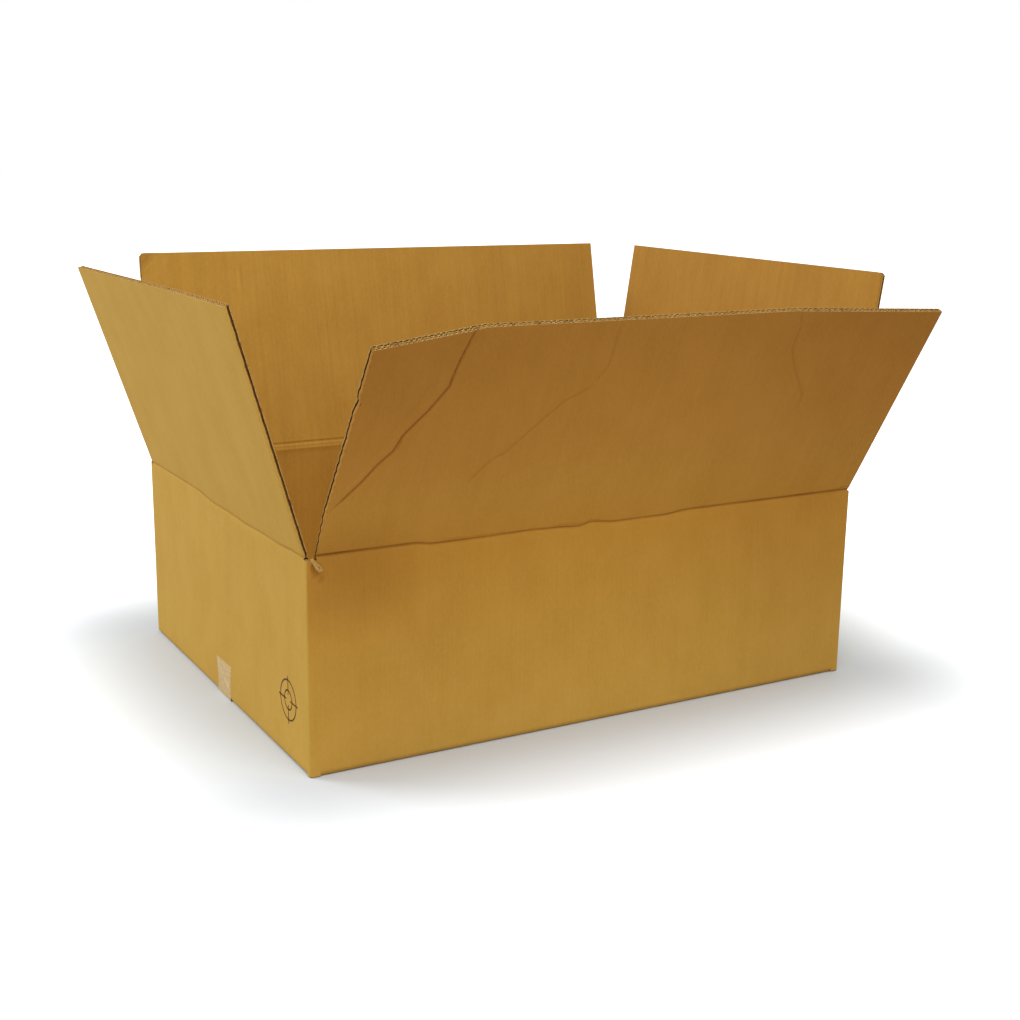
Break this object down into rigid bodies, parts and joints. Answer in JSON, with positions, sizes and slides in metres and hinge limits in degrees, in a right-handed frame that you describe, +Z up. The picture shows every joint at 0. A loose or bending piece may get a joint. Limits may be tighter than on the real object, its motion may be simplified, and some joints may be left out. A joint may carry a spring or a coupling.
{
  "type": "open cardboard box",
  "caption": "Empty corrugated shipping carton, taped shut underneath and standing open, with hinged upper flaps leaning outwards and a plain round printed mark.",
  "frame": {"origin": "centre of the base, on the surface the carton stands on", "axes": "+Z up out of the open top, X along the long walls, front wall facing -Y, left wall facing -X"},
  "size_m": [0.9351, 0.8257, 0.5582],
  "materials": {
    "board": "uncoated brown kraft liner over corrugated board",
    "tape": "clear packing tape, slightly hazy",
    "ink": "flat dark brown water-based ink"
  },
  "bodies": {
    "carton": {"carton_body": "board", "sealing_tape": "tape", "printed_mark": "ink"},
    "front_flap": {"front_flap": "board"},
    "back_flap": {"back_flap": "board"},
    "left_flap": {"left_flap": "board"},
    "right_flap": {"right_flap": "board"}
  },
  "joints": [
    {"name": "front_flap_fold", "type": "hinge", "parent": "carton", "child": "front_flap", "pos_m": [0, -0.3005, 0.266], "axis": [1, 0, 0], "range_deg": [-116.5, 113.5]},
    {"name": "back_flap_fold", "type": "hinge", "parent": "carton", "child": "back_flap", "pos_m": [0, 0.3005, 0.266], "axis": [-1, 0, 0], "range_deg": [-102, 128]},
    {"name": "left_flap_fold", "type": "hinge", "parent": "carton", "child": "left_flap", "pos_m": [-0.4, 0, 0.2621], "axis": [0, -1, 0], "range_deg": [-108.5, 153.7]},
    {"name": "right_flap_fold", "type": "hinge", "parent": "carton", "child": "right_flap", "pos_m": [0.4, 0, 0.2621], "axis": [0, 1, 0], "range_deg": [-98.3, 161.7]}
  ]
}
